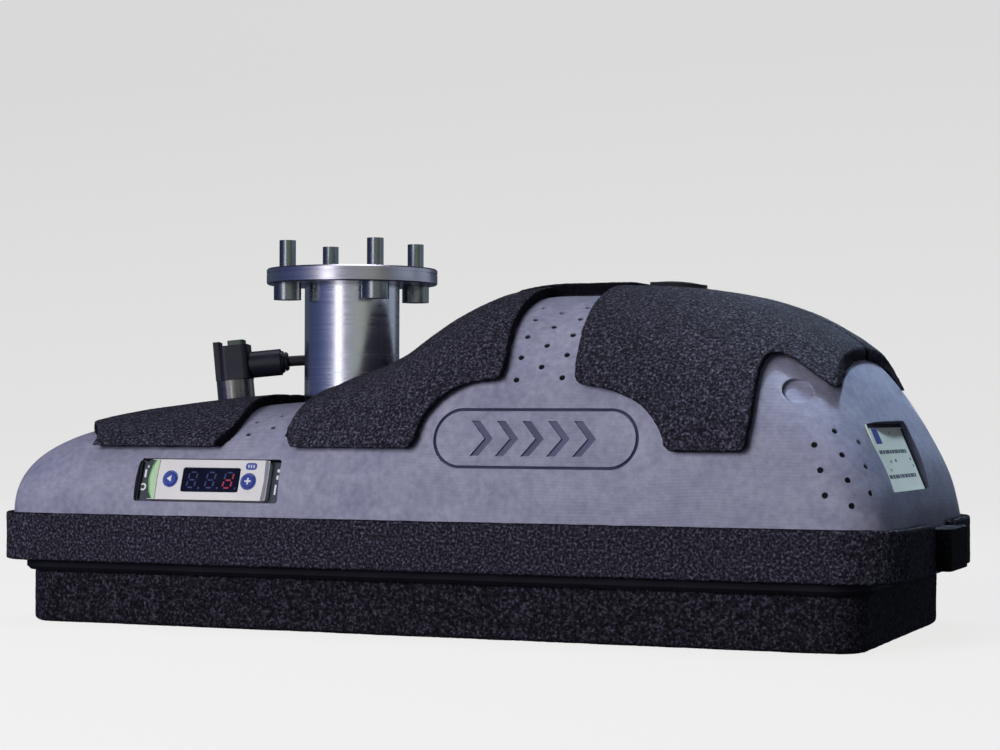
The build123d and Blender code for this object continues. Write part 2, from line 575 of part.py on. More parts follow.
# ----------------------------------------------------------------------------
# signal cable: behind the tube, over the rear edge, down to the floor
# ----------------------------------------------------------------------------
start = CON.location * Pos(BARREL_L + 0.2, 0, 16.4)
lead = CON.location * Pos(BARREL_L + 16.0, 0, 16.4)
p0, p1 = start.position, lead.position
ROUTE = [p0, p1, Vector(-58.0, 25.5, 92.0), Vector(-46.5, 38.5, 90.5), Vector(-38.5, 54.0, 87.5), Vector(-34.0, 70.0, 79.0),
         Vector(-33.0, 81.5, 63.0), Vector(-34.5, 86.5, 44.0), Vector(-38.5, 88.5, 26.0), Vector(-46.0, 90.5, 10.5),
         Vector(-57.0, 94.5, 2.4), Vector(-70.0, 96.5, 2.4), Vector(-83.5, 96.0, 2.4)]


def corner_radii(route):
    out = []
    for a, b, c in zip(route, route[1:], route[2:]):
        u, v = b - a, c - b
        turn = math.radians(u.get_angle(v))
        out.append(0.45 * min(u.length, v.length) / math.tan(turn / 2))
    return out


def cable_along(route, r):
    radii = corner_radii(route)
    path = FilletPolyline(*route, radius=radii)
    wire = Wire(path.edges()) if not isinstance(path, Wire) else path
    prof = Plane(origin=route[0], z_dir=route[1] - route[0]) * Circle(r)
    s = sweep(prof, path=wire)
    print("cable radii", [round(x, 1) for x in radii], "length", round(wire.length, 1),
          "volume ratio", round(sum(q.volume for q in solids_of(s)) / (math.pi * r * r * wire.length), 4))
    return s


save("signal_cable", cable_along(ROUTE, CABLE_R))
COIL_X, COIL_Y, COIL_R = -96.0, 122.0, 22.0
coil = Pos(COIL_X, COIL_Y, 4.6) * (Cylinder(COIL_R + 5.0, 9.0) - Cylinder(COIL_R - 5.0, 10))
coil = fillet(coil.edges().filter_by(GeomType.CIRCLE), 2.0)
save("cable_coil", coil)
TAIL = [Vector(-76.0, 141.4, 2.4), Vector(-65.0, 132.0, 2.4), Vector(-56.0, 121.0, 3.2), Vector(-44.5, 112.2, 6.9), Vector(-30.5, 108.0, 7.1)]
save("cable_tail", cable_along(TAIL, CABLE_R))
tie = Pos(COIL_X, COIL_Y + COIL_R, 4.6) * (Rot(0, 90, 0) * (extrude(RectangleRounded(10.6 - 1.4, 12.4, 2.4), amount=3.2, both=False)))
tie_in = Pos(COIL_X, COIL_Y + COIL_R, 4.6) * (Rot(0, 90, 0) * (Pos(0, 0, -1) * extrude(RectangleRounded(9.02, 10.04, 2.0), amount=6)))
save("cable_tie", tie - tie_in)
e0, e1 = TAIL[-2], TAIL[-1]
d = Vector((e1 - e0).X, (e1 - e0).Y, 0).normalized()
FP = Plane(origin=Vector(e1.X, e1.Y, 7.1), z_dir=d, x_dir=Vector(0, 0, 1))
far = Pos(0, 0, 0.1) * Cone(3.4, 5.6, 10, align=LOW) + Pos(0, 0, 10.1) * Cylinder(6.2, 18, align=LOW) + Pos(0, 0, 28.1) * Cylinder(4.2, 16, align=LOW)
save("far_plug", FP.location * far)
fn = Pos(0, 0, 28.6) * Cylinder(7.0, 14, align=LOW) - Pos(0, 0, 28.0) * Cylinder(4.3, 20, align=LOW)
save("far_plug_nut", FP.location * fn)

# ----------------------------------------------------------------------------
# compressed air inlet on the rear wall
# ----------------------------------------------------------------------------
fit = Pos(0, 0, -16) * Cylinder(7.0, 17.4, align=LOW)
fit = fit - Pos(0, 0, -12) * Cylinder(4.1, 16, align=LOW) - Pos(0, 0, -4.5) * Cylinder(5.6, 12, align=LOW)
fit = fit - Pos(0, 0, -20) * Cylinder(2.5, 12, align=LOW)
save("air_fitting", in_air(fit))
rel = Pos(0, 0, -3.3) * Cylinder(5.5, 5.4, align=LOW) + Pos(0, 0, 2.9) * Cylinder(6.9, 1.2, align=LOW) + Pos(0, 0, 2.0) * Cylinder(5.5, 1.0, align=LOW)
rel = rel - Pos(0, 0, -5) * Cylinder(4.1, 12, align=LOW)
save("release_collar", in_air(rel))

# ----------------------------------------------------------------------------
# vacuum system inside the housing
# ----------------------------------------------------------------------------
gasket = rounded_bar(258, 102, 1.2, 8, z=22.05) - rounded_bar(248, 92, 4, 5, z=21)
save("plenum_gasket", gasket)
cover = rounded_bar(258, 102, 12.0, 8, z=23.3) - rounded_bar(248, 92, 9.3, 5, z=23.0)
cover = cover - cyl(4.0, 20, 20, -14, 20) - Compound(children=[cyl(2.05, 40, TUBE_X + x, y, 20) for x, y in SOCKET_FIX])
for x, y in SOCKET_FIX:
    cover = cover + (cyl(5.0, 12.0, TUBE_X + x, y, 23.3) - cyl(2.05, 40, TUBE_X + x, y, 20))
save("plenum_cover", cover)
ejector = box(6, 76, -26, -4, 36.0, 58.0)
ejector = ejector - Pos(0, -15, 47) * Rot(0, 90, 0) * Cylinder(5.1, 200) - cyl(4.0, 12, 20, -14, 35)
save("ejector_body", ejector)
noz = Pos(8, -15, 47) * Rot(0, 90, 0) * Cylinder(5.0, 22, align=LOW) - Pos(0, -15, 47) * Rot(0, 90, 0) * Cylinder(1.2, 80)
save("ejector_nozzle", noz)
dif = Pos(40, -15, 47) * Rot(0, 90, 0) * Cylinder(5.0, 34, align=LOW) - Pos(0, -15, 47) * Rot(0, 90, 0) * Cylinder(2.2, 180)
save("ejector_diffuser", dif)
sil = Pos(76.1, -15, 47) * Rot(0, 90, 0) * (Cylinder(10.0, 34, align=LOW) - Pos(0, 0, -1) * Cylinder(5.0, 30, align=LOW))
save("silencer", sil)
save("valve_manifold", box(6, 76, 2, 28, 36.0, 50.0))
save("supply_valve", box(12, 38, 4, 26, 50.1, 84.0))
save("blow_off_valve", box(44, 70, 4, 26, 50.1, 84.0))
AIRP = AIR.location * Pos(0, 0, -16.1)
a0 = AIRP.position
HOSE = [a0, a0 - AIR.z_dir * 12.0, Vector(-84, 33.0, 62.0), Vector(-66, 35.5, 67.0), Vector(-42, 35.5, 66.0), Vector(-22, 29.0, 56.0), Vector(-9.0, 15.0, 43.0), Vector(5.95, 15.0, 43.0)]
save("supply_hose", cable_along(HOSE, 3.0))
board = box(-148, -92, -26, 26, 44.0, 45.6)
save("control_board", board)
save("board_posts", Compound(children=[cyl(2.4, 8.4, x, y, 35.45) for x, y in ((-144, -22), (-144, 22), (-96, -22), (-96, 22))]))
save("housing_screws", Compound(children=[cyl(1.9, 12.0, x, y, 18.7 + 1.8) + cyl(3.8, 1.8, x, y, 18.7) for x, y in FIX]))

for nm, pl in (("label", LAB), ("display", DISP), ("connector", CON), ("air", AIR), ("far plug", FP)):
    print("frame", nm, pl.origin, pl.z_dir)
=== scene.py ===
import bpy, bmesh, math, json, random
import numpy as np
from mathutils import Vector, Matrix, noise
from mathutils.bvhtree import BVHTree

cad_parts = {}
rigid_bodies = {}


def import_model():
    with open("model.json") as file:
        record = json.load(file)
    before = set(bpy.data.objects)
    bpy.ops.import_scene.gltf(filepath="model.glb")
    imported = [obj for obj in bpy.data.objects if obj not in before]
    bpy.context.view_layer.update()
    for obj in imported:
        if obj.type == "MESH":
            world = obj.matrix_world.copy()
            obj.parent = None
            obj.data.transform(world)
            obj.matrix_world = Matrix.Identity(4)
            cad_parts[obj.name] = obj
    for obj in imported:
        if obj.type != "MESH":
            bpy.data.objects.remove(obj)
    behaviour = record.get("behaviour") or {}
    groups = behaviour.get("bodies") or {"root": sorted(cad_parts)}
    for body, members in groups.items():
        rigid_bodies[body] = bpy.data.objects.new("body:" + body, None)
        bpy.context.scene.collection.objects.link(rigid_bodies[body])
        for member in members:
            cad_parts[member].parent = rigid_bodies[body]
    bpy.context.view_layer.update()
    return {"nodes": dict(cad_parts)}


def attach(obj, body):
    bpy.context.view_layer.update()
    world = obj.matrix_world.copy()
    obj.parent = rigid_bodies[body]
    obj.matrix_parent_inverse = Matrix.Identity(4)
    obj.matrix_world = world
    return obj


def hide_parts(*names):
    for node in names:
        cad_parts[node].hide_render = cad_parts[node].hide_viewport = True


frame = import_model()
NODES = frame["nodes"]
scene = bpy.context.scene
random.seed(7)
MM = 0.001


def mm(*p):
    return Vector([c * MM for c in p])


# ---------------------------------------------------------------------------
# camera: a little right of the front, almost level
# ---------------------------------------------------------------------------
AZ, EL, ROLL = math.radians(22.06), math.radians(0.97), math.radians(0.14)
fwd = Vector((-math.sin(AZ) * math.cos(EL), math.cos(AZ) * math.cos(EL), math.sin(EL)))
right = Vector((math.cos(AZ), math.sin(AZ), 0))
up = right.cross(fwd)
rt = right * math.cos(ROLL) + up * math.sin(ROLL)
up2 = -right * math.sin(ROLL) + up * math.cos(ROLL)
cam_data = bpy.data.cameras.new("camera")
cam_data.sensor_width = 36.0
cam_data.lens = 2269.4 / 1000 * 36.0
cam_data.clip_start, cam_data.clip_end = 0.02, 50
cam = bpy.data.objects.new("camera", cam_data)
scene.collection.objects.link(cam)
m = Matrix((rt, up2, -fwd)).transposed().to_4x4()
m.translation = mm(312.71, -756.74, 74.65)
cam.matrix_world = m
scene.camera = cam
scene.view_settings.view_transform = "Standard"
scene.view_settings.look = "None"

# ---------------------------------------------------------------------------
# signal cable: behind the tube, over the rear edge, down to the floor, into a coil
# ---------------------------------------------------------------------------
ROUTE = [(-86.919, 9.293, 93.948), (-72.153, 14.697, 95.500), (-58, 25.5, 92), (-46.5, 38.5, 90.5), (-38.5, 54, 87.5),
         (-34, 70, 79), (-33, 81.5, 63), (-34.5, 86.5, 44), (-38.5, 88.5, 26), (-46, 90.5, 10.5), (-57, 94.5, 2.4),
         (-70, 96.5, 2.4), (-83.5, 96, 2.4)]
TAIL = [(-76, 141.4, 2.4), (-65, 132, 2.4), (-56, 121, 3.2), (-44.5, 112.2, 6.9), (-30.5, 108, 7.1)]
COIL = (-96.0, 122.0)


def coil_points():
    out = []
    a0, a1, n = -80.0, -64.0 - 972.0 + 14.0, 41
    # angle, radius and height of the line along the winding: two turns on the floor, the last part on top of them
    keys = [(-80, 25.2, 2.3), (-250, 24.8, 2.3), (-400, 24.5, 2.3), (-470, 22.6, 2.4), (-520, 20.4, 2.4), (-700, 20.2, 2.4),
            (-790, 20.3, 3.2), (-840, 21.6, 5.6), (-900, 22.8, 6.5), (-980, 23.4, 6.6), (-1005, 25.8, 6.5), (-1022, 28.0, 4.6)]
    for i in range(n + 1):
        a = a0 + (a1 - a0) * i / n
        for (ka, kr, kz), (la, lr, lz) in zip(keys, keys[1:]):
            if la <= a <= ka:
                f = (ka - a) / (ka - la)
                r, z = kr + (lr - kr) * f, kz + (lz - kz) * f
                break
        t = math.radians(a)
        out.append((COIL[0] + r * math.cos(t), COIL[1] + r * math.sin(t), z))
    return out


cable_pts = ROUTE + coil_points() + TAIL
cu = bpy.data.curves.new("signal_lead", "CURVE")
cu.dimensions = "3D"
spl = cu.splines.new("NURBS")
spl.points.add(len(cable_pts) - 1)
for pt, c in zip(spl.points, cable_pts):
    pt.co = (c[0] * MM, c[1] * MM, c[2] * MM, 1)
    pt.radius = 0.002
spl.order_u = 3
spl.use_endpoint_u = True
cu.resolution_u = 12
cu.bevel_depth = 1.0  # times the radius of the points: 2 mm
cu.bevel_resolution = 5
cu.use_fill_caps = True
lead = bpy.data.objects.new("signal_lead", cu)
scene.collection.objects.link(lead)
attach(lead, "gripper")
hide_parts("signal_cable", "cable_coil", "cable_tail")

# ---------------------------------------------------------------------------
# frames of the pieces that lean
# ---------------------------------------------------------------------------


def frame_of(origin, z, x):
    z = Vector(z).normalized()
    x = Vector(x)
    x = (x - z * x.dot(z)).normalized()
    y = z.cross(x)
    mt = Matrix((x, y, z)).transposed().to_4x4()
    mt.translation = Vector(origin) * MM
    return mt


CN, CT = math.radians(20), math.radians(6)
DISP = frame_of((-76.4, -66.9472, 51.4), (0, -0.951057, 0.309017), (1, 0, 0))
CON = frame_of((-102.4, 3, 75.8305), (-0.104528, 0, 0.994522),
               (math.cos(CN) * math.cos(CT), math.sin(CN), math.cos(CN) * math.sin(CT)))
AIR = frame_of((-95.983, 65.3841, 50.5055), (-0.01062, 0.950988, 0.309045), (1, 0, 0))
FARP = frame_of((-30.5, 108, 7.1), (0.957826, -0.287348, 0), (0, 0, 1))
LAB = frame_of((155.1, -26.0, 60.7), (0.920276, -0.030009, 0.390117), (0.03, 0.92, 0))
TUBE_X = -53.0


# ---------------------------------------------------------------------------
# material helpers
# ---------------------------------------------------------------------------
class Mat:
    def __init__(self, name):
        self.m = bpy.data.materials.new(name)
        self.m.use_nodes = True
        self.t = self.m.node_tree
        self.b = self.t.nodes["Principled BSDF"]
        tc = self.t.nodes.new("ShaderNodeTexCoord")
        self.co = tc.outputs["Object"]

    def node(self, kind, **kw):
        n = self.t.nodes.new(kind)
        for k, v in kw.items():
            if k.startswith("_"):
                setattr(n, k[1:], v)
            else:
                n.inputs[k.replace("__", " ")].default_value = v
        return n

    def link(self, a, b):
        self.t.links.new(a, b)

    def set(self, **kw):
        for k, v in kw.items():
            self.b.inputs[k.replace("_", " ")].default_value = v
        return self

    def noise(self, scale, detail=3.0, rough=0.55, vec=None, dist=0.0):
        n = self.node("ShaderNodeTexNoise", Scale=scale, Detail=detail, Roughness=rough, Distortion=dist)
        self.link(vec or self.co, n.inputs["Vector"])
        return n.outputs["Fac"]

    def voronoi(self, scale, feature="F1", vec=None, rand=1.0):
        n = self.t.nodes.new("ShaderNodeTexVoronoi")
        n.feature = feature
        n.inputs["Scale"].default_value = scale
        n.inputs["Randomness"].default_value = rand
        self.link(vec or self.co, n.inputs["Vector"])
        return n.outputs["Distance"]

    def scaled(self, sx, sy, sz):
        n = self.t.nodes.new("ShaderNodeMapping")
        n.inputs["Scale"].default_value = (sx, sy, sz)
        self.link(self.co, n.inputs["Vector"])
        return n.outputs["Vector"]

    def ramp(self, fac, stops, interp="LINEAR"):
        n = self.t.nodes.new("ShaderNodeValToRGB")
        n.color_ramp.interpolation = interp
        els = n.color_ramp.elements
        while len(els) < len(stops):
            els.new(0.5)
        for e, (p, c) in zip(els, stops):
            e.position = p
            e.color = c if len(c) == 4 else (*c, 1)
        self.link(fac, n.inputs["Fac"])
        return n.outputs["Color"]

    def remap(self, fac, a, b, c, d):
        n = self.t.nodes.new("ShaderNodeMapRange")
        for i, v in zip(("From Min", "From Max", "To Min", "To Max"), (a, b, c, d)):
            n.inputs[i].default_value = v
        self.link(fac, n.inputs["Value"])
        return n.outputs["Result"]

    def math(self, op, a, b):
        n = self.t.nodes.new("ShaderNodeMath")
        n.operation = op
        for i, v in enumerate((a, b)):
            if isinstance(v, (int, float)):
                n.inputs[i].default_value = v
            else:
                self.link(v, n.inputs[i])
        return n.outputs[0]

    def mix(self, fac, a, b, mode="MIX"):
        n = self.t.nodes.new("ShaderNodeMix")
        n.data_type = "RGBA"
        n.blend_type = mode
        for sock, v in ((n.inputs[0], fac), (n.inputs[6], a), (n.inputs[7], b)):
            if isinstance(v, (int, float)):
                sock.default_value = v
            elif isinstance(v, (tuple, list)):
                sock.default_value = v if len(v) == 4 else (*v, 1)
            else:
                self.link(v, sock)
        return n.outputs[2]

    def bump(self, height, strength, distance, prev=None):
        n = self.t.nodes.new("ShaderNodeBump")
        n.inputs["Strength"].default_value = strength
        n.inputs["Distance"].default_value = distance
        self.link(height, n.inputs["Height"])
        if prev is not None:
            self.link(prev, n.inputs["Normal"])
        return n.outputs["Normal"]

    def attr(self, name):
        n = self.t.nodes.new("ShaderNodeAttribute")
        n.attribute_name = name
        return n.outputs["Fac"]

    def out(self, colour=None, rough=None, normal=None):
        if colour is not None:
            self.link(colour, self.b.inputs["Base Color"])
        if rough is not None:
            self.link(rough, self.b.inputs["Roughness"])
        if normal is not None:
            self.link(normal, self.b.inputs["Normal"])
        return self.m


def housing_material():
    """Sintered and infiltrated polyamide: blotchy lilac grey, faint contour lines where the wall slopes."""
    k = Mat("polyamide_blue_grey")
    broad = k.noise(22, 5, 0.6)
    cloud = k.noise(90, 4, 0.6)
    grain = k.noise(1500, 2, 0.5)
    c = k.ramp(broad, [(0.34, (0.200, 0.206, 0.290)), (0.52, (0.240, 0.244, 0.332)), (0.70, (0.286, 0.288, 0.382))])
    c2 = k.ramp(cloud, [(0.36, (0.192, 0.200, 0.288)), (0.64, (0.296, 0.296, 0.384))])
    c = k.mix(0.45, c, c2)
    c3 = k.ramp(k.noise(420, 3, 0.6), [(0.34, (0.64, 0.64, 0.67)), (0.66, (1.0, 1.0, 1.0))])
    c = k.mix(0.75, c, c3, "MULTIPLY")
    c = k.mix(1.0, c, (1.18, 1.175, 1.17), "MULTIPLY")
    # contour lines of the build layers
    sep = k.t.nodes.new("ShaderNodeSeparateXYZ")
    k.link(k.co, sep.inputs[0])
    wob = k.noise(20, 3, 0.5)
    z = k.math("ADD", sep.outputs["Z"], k.math("MULTIPLY", wob, 0.0060))
    wave = k.math("SINE", k.math("MULTIPLY", z, 2 * math.pi / 0.0011), 0.0)
    wave2 = k.math("SINE", k.math("MULTIPLY", z, 2 * math.pi / 0.00037), 0.0)
    lines = k.math("MULTIPLY", k.math("ADD", wave, wave2), 0.5)
    amp = k.remap(k.noise(14, 3, 0.6), 0.42, 0.66, 0.0, 1.0)
    lines = k.math("MULTIPLY", lines, amp)
    lf = k.remap(lines, -1, 1, 0.0, 1.0)
    c = k.mix(k.math("MULTIPLY", amp, 0.36), c, k.mix(lf, (0.16, 0.17, 0.24), (0.36, 0.36, 0.44)))
    speck = k.ramp(k.voronoi(640), [(0.0, (0.62, 0.62, 0.62)), (0.16, (1, 1, 1))])
    c = k.mix(0.30, c, speck, "MULTIPLY")
    n = k.bump(grain, 0.22, 0.00012)
    n = k.bump(lf, 0.22, 0.00012, n)
    n = k.bump(cloud, 0.08, 0.0006, n)
    r = k.remap(k.noise(160, 3), 0.3, 0.7, 0.50, 0.68)
    k.set(Specular_IOR_Level=0.42)
    return k.out(c, r, n)


def foam_material(name, cell, gain=1.0, blue=1.42):
    """Open cell foam rubber: near black, light flecks where the cell walls catch the light, black cut faces."""
    k = Mat(name)
    s = 1.0 / cell

    def tone(v):
        return (v * gain, v * gain * 0.97, v * gain * blue)
    v = k.voronoi(s * 1.1, "F1")
    v2 = k.voronoi(s * 1.5, "F1")
    big = k.noise(s * 0.10, 3, 0.6)
    fine = k.noise(s * 1.18, 3, 0.62)
    wall = k.remap(v, 0.05, 0.75, 0.0, 1.0)
    c = k.ramp(fine, [(0.36, tone(0.0050)), (0.46, tone(0.0095)), (0.53, tone(0.020)), (0.60, tone(0.044)), (0.70, tone(0.100))])
    c = k.mix(k.remap(big, 0.35, 0.65, 0.14, 0.0), c, (*tone(0.009),))
    fleck = k.ramp(v2, [(0.0, (1, 1, 1)), (0.15, (0.35, 0.35, 0.35)), (0.28, (0, 0, 0))])
    few = k.ramp(k.noise(s * 2.2, 1, 0.5), [(0.53, (0, 0, 0)), (0.63, (1, 1, 1))])
    f = k.mix(1.0, fleck, few, "MULTIPLY")
    c = k.mix(k.math("MULTIPLY", f, 0.50), c, (0.13 * gain, 0.13 * gain, 0.165 * gain))
    c = k.mix(k.attr("cut"), c, (0.0025, 0.0025, 0.0045))
    n = k.bump(wall, 0.8, cell * 0.30)
    n = k.bump(fine, 0.7, cell * 0.28, n)
    r = k.remap(fine, 0.3, 0.7, 0.98, 0.70)
    k.set(Specular_IOR_Level=0.22)
    return k.out(c, r, n)


def plastic(name, colour, rough=0.45, grain=900, bump=0.15, var=0.25, spec=0.5, dist=0.0001, coat=0.0):
    k = Mat(name)
    n1 = k.noise(60, 4, 0.6)
    lo = tuple(c * (1 - var) for c in colour)
    hi = tuple(min(1, c * (1 + var)) for c in colour)
    c = k.ramp(n1, [(0.35, lo), (0.65, hi)])
    g = k.noise(grain, 3, 0.6)
    r = k.remap(k.noise(240, 3), 0.3, 0.7, rough - 0.07, rough + 0.09)
    k.set(Specular_IOR_Level=spec, Coat_Weight=coat)
    return k.out(c, r, k.bump(g, bump, dist))


def metal(name, colour, rough, brush=(1, 1, 60), rings=None, var=0.12, aniso=0.0, bump=0.08):
    k = Mat(name)
    vec = k.scaled(*brush)
    st = k.noise(55, 6, 0.65, vec=vec)
    c = k.ramp(st, [(0.3, tuple(v * (1 - var) for v in colour)), (0.7, tuple(min(1, v * (1 + var)) for v in colour))])
    r = k.remap(st, 0.3, 0.7, rough - 0.06, rough + 0.10)
    n = k.bump(st, bump, 0.00006)
    k.set(Metallic=1.0, Anisotropic=aniso)
    return k.out(c, r, n)


HOUSING = housing_material()
FOAM_COARSE = foam_material("foam_coarse", 0.00112, 1.36)
# the mat is the coarse foam made darker (gain 0.70): painted shade of its place set back under the band
FOAM_MAT_PAINTED_SHADE = foam_material("foam_mat_painted_shade", 0.00112, 0.70)
FOAM_FINE = foam_material("foam_fine", 0.00104, 1.48)
BLACK = plastic("plastic_black", (0.011, 0.011, 0.019), 0.40, var=0.3)
BLACK_SATIN = plastic("plastic_black_satin", (0.016, 0.016, 0.020), 0.33, grain=1400, bump=0.10)
# black of the base plate; also the colour of the painted shadow strips and the painted vent hole shade
PLATE_BLACK_AND_SHADE = plastic("plate_black_and_painted_shade", (0.008, 0.008, 0.012), 0.62, grain=500, bump=0.12, spec=0.16)
RUBBER = plastic("rubber_black", (0.014, 0.014, 0.016), 0.55, grain=700, bump=0.2, spec=0.3)
ALU = metal("aluminium_turned", (0.68, 0.69, 0.73), 0.19, brush=(0.25, 0.25, 30), aniso=0.75, bump=0.012, var=0.05)
ALU_FACE = metal("aluminium_face", (0.64, 0.63, 0.68), 0.24, brush=(0.3, 0.3, 30), aniso=0.4, bump=0.004, var=0.06)
STEEL = metal("steel_zinc", (0.30, 0.33, 0.33), 0.26, brush=(1, 1, 8), bump=0.04)
NICKEL = metal("nickel", (0.30, 0.29, 0.28), 0.30, brush=(1, 1, 10), bump=0.08)
BRASS = metal("brass_turned", (0.72, 0.52, 0.24), 0.28, brush=(1, 1, 20))
WHITE = plastic("display_white", (0.68, 0.67, 0.66), 0.34, grain=1200, bump=0.05, var=0.04)
GREY_DARK = plastic("display_grey", (0.045, 0.054, 0.068), 0.48, grain=1500, bump=0.16, var=0.2)
GREEN = plastic("lens_green", (0.16, 0.42, 0.13), 0.30, grain=900, bump=0.05, var=0.12)
GREEN_PALE = plastic("lens_pale", (0.46, 0.62, 0.40), 0.28, grain=900, bump=0.05, var=0.08)
WINDOW = plastic("window_filter", (0.006, 0.007, 0.022), 0.12, grain=400, bump=0.02, var=0.2, spec=0.6)
EDGE_GREY = plastic("display_edge_grey", (0.20, 0.22, 0.25), 0.40, grain=1200, bump=0.05, var=0.06)
BLUE = plastic("button_blue", (0.035, 0.060, 0.30), 0.38, grain=1100, bump=0.08, var=0.15)
BLUE_INK = plastic("ink_blue", (0.06, 0.09, 0.33), 0.45, grain=1000, bump=0.03, var=0.1)
INK_GREY = plastic("ink_grey", (0.10, 0.115, 0.14), 0.5, grain=1000, bump=0.03, var=0.15)
INK_WHITE = plastic("ink_white", (0.66, 0.67, 0.68), 0.45, grain=1000, bump=0.03, var=0.05)
LABEL = plastic("label_film", (0.78, 0.82, 0.72), 0.38, grain=800, bump=0.04, var=0.05)
SEG_OFF = plastic("segment_off", (0.042, 0.056, 0.135), 0.25, grain=800, bump=0.02, var=0.1)
SINTER = plastic("sintered_white", (0.62, 0.62, 0.58), 0.8, grain=1500, bump=0.6, var=0.1)
HOSE = plastic("hose_blue", (0.03, 0.10, 0.36), 0.3, var=0.1)
PCB = plastic("circuit_green", (0.02, 0.12, 0.05), 0.35, grain=600, bump=0.3)
CABLE = plastic("cable_jacket", (0.012, 0.012, 0.014), 0.45, grain=1800, bump=0.12)
RELEASE = plastic("release_blue", (0.02, 0.07, 0.28), 0.35, var=0.15)
GREY_CAP = plastic("cap_grey_green", (0.060, 0.085, 0.075), 0.45, grain=1200, bump=0.12, var=0.2)

cu.materials.append(CABLE)
seg = Mat("segment_lit")
seg.link(seg.ramp(seg.noise(900), [(0.3, (0.27, 0.030, 0.055)), (0.7, (0.38, 0.045, 0.065))]), seg.b.inputs["Base Color"])
seg.b.inputs["Emission Color"].default_value = (1.0, 0.06, 0.07, 1)
seg.b.inputs["Emission Strength"].default_value = 0.05
SEG_ON = seg.m


def paint(node, mat):
    o = NODES[node]
    o.data.materials.clear()
    o.data.materials.append(mat)


for nm, mt in {
    "housing_shell": HOUSING, "base_plate": PLATE_BLACK_AND_SHADE, "top_plug": RUBBER, "display_base": GREY_DARK, "display_face": WHITE,
    "display_window": WINDOW, "status_lens": GREEN, "button_left": BLUE, "button_right": BLUE, "display_board": PCB,
    "rating_label": LABEL, "adapter_flange": ALU_FACE, "adapter_tube": ALU, "flange_screws": STEEL, "tube_socket": ALU_FACE,
    "clamp_screw": STEEL, "socket_screws": STEEL, "panel_socket": NICKEL, "coupling_nut": NICKEL, "elbow_body": BLACK,
    "elbow_cap": GREY_CAP, "cable_collar": BLACK, "signal_cable": CABLE, "cable_coil": CABLE, "cable_tail": CABLE,
    "cable_tie": BLACK_SATIN, "far_plug": BLACK, "far_plug_nut": NICKEL, "air_fitting": NICKEL, "release_collar": RELEASE,
    "plenum_gasket": RUBBER, "plenum_cover": BLACK, "ejector_body": ALU_FACE, "ejector_nozzle": BRASS,
    "ejector_diffuser": BRASS, "silencer": SINTER, "valve_manifold": ALU_FACE, "supply_valve": BLACK_SATIN,
    "blow_off_valve": BLACK_SATIN, "supply_hose": HOSE, "control_board": PCB, "board_posts": BRASS, "housing_screws": STEEL,
    "suction_mat": FOAM_COARSE, "bumper_front": FOAM_COARSE, "bumper_rear": FOAM_COARSE, "end_block_left": FOAM_COARSE,
    "end_block_right": FOAM_COARSE, "pad_front_left": FOAM_FINE, "pad_front_middle": FOAM_FINE, "pad_front_right": FOAM_FINE,
    "pad_rear_left": FOAM_FINE, "pad_rear_middle": FOAM_FINE, "pad_rear_right": FOAM_FINE, "pad_top": FOAM_FINE,
}.items():
    paint(nm, mt)


# ---------------------------------------------------------------------------
# foam pieces: rounded, slightly uneven, with their cut faces marked
# ---------------------------------------------------------------------------
def add(name, mesh, mat, body="gripper", smooth=True):
    o = bpy.data.objects.new(name, mesh)
    scene.collection.objects.link(o)
    if mat is not None:
        mesh.materials.clear()
        mesh.materials.append(mat)
    if smooth:
        mesh.polygons.foreach_set("use_smooth", [True] * len(mesh.polygons))
    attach(o, body)
    return o


def baked(o):
    dg = bpy.context.evaluated_depsgraph_get()
    me = bpy.data.meshes.new_from_object(o.evaluated_get(dg))
    return me


shell_bvh = BVHTree.FromPolygons([v.co.copy() for v in NODES["housing_shell"].data.vertices],
                                 [tuple(p.vertices) for p in NODES["housing_shell"].data.polygons])


def foam_piece(node, mat, voxel, rounds, cut_mode, amp=0.00010):
    src = NODES[node].data.copy()
    tmp = bpy.data.objects.new("tmp", src)
    scene.collection.objects.link(tmp)
    r = tmp.modifiers.new("r", "REMESH")
    r.mode, r.voxel_size, r.adaptivity = "VOXEL", voxel, 0.0
    s = tmp.modifiers.new("s", "SMOOTH")
    s.factor, s.iterations = 0.5, rounds
    me = baked(tmp)
    bpy.data.objects.remove(tmp)
    n = len(me.vertices)
    co = np.zeros(n * 3, np.float32)
    me.vertices.foreach_get("co", co)
    co = co.reshape(-1, 3)
    no = np.zeros(n * 3, np.float32)
    me.vertices.foreach_get("normal", no)
    no = no.reshape(-1, 3)
    lo, hi = co.min(0), co.max(0)
    cut = np.zeros(n, np.float32)
    if cut_mode == "pad":
        for i in range(n):
            hit = shell_bvh.find_nearest(Vector(co[i]))
            if hit[0] is not None:
                d = abs(hit[1].dot(Vector(no[i])))
                cut[i] = min(1.0, max(0.0, (0.84 - d) / 0.26))
    elif cut_mode == "band":
        cut = np.clip((np.abs(no[:, 2]) - 0.55) / 0.3, 0, 1)
    elif cut_mode == "block":
        cut[:] = 0.88
    wob = np.array([noise.noise(Vector(c) * 120) * 1.6 + noise.noise(Vector(c) * 900) for c in co], np.float32)
    co = co + no * (wob * amp)[:, None]
    co = np.clip(co, lo, hi)
    me.vertices.foreach_set("co", co.reshape(-1))
    a = me.attributes.new("cut", "FLOAT", "POINT")
    a.data.foreach_set("value", cut.astype(np.float32))
    me.update()
    o = add("foam_" + node, me, mat)
    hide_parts(node)
    return o


vx = 0.0007
for node in ("pad_front_left", "pad_front_middle", "pad_front_right", "pad_rear_left", "pad_rear_middle", "pad_rear_right", "pad_top"):
    foam_piece(node, FOAM_FINE, vx, 1, "pad")
for node in ("bumper_front", "bumper_rear"):
    foam_piece(node, FOAM_COARSE, vx, 2, "band")
for node in ("end_block_left", "end_block_right"):
    foam_piece(node, FOAM_COARSE, 0.0006, 2, "block")
foam_piece("suction_mat", FOAM_MAT_PAINTED_SHADE, 0.0009, 2, "none")

